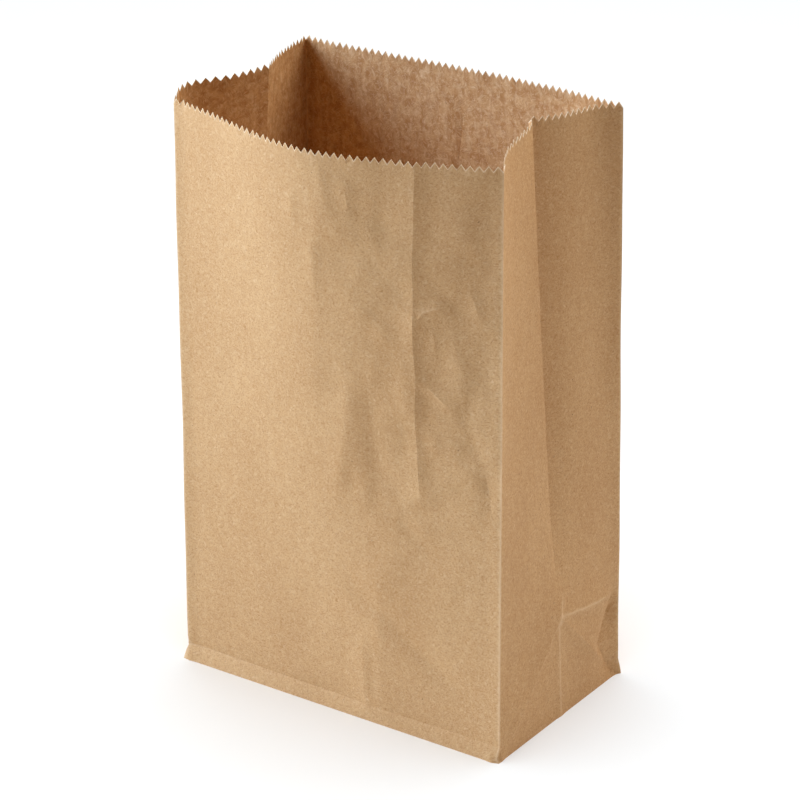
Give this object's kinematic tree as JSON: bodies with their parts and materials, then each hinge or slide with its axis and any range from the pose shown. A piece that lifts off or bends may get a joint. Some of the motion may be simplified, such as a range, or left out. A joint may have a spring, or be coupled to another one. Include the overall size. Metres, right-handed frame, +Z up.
{
  "type": "paper lunch bag",
  "caption": "Brown kraft paper bag with a flat block bottom, side gussets and a saw-tooth top edge, standing open and empty.",
  "frame": {"origin": "middle of the bottom, on the face that the bag stands on", "axes": "+Z up to the open mouth, +X to the right across the front, +Y from the front panel to the back panel"},
  "size_m": [0.1557, 0.1122, 0.2438],
  "materials": {
    "kraft_paper": "matt unbleached kraft paper"
  },
  "bodies": {
    "root": {"paper_bag": "kraft_paper"}
  },
  "joints": []
}
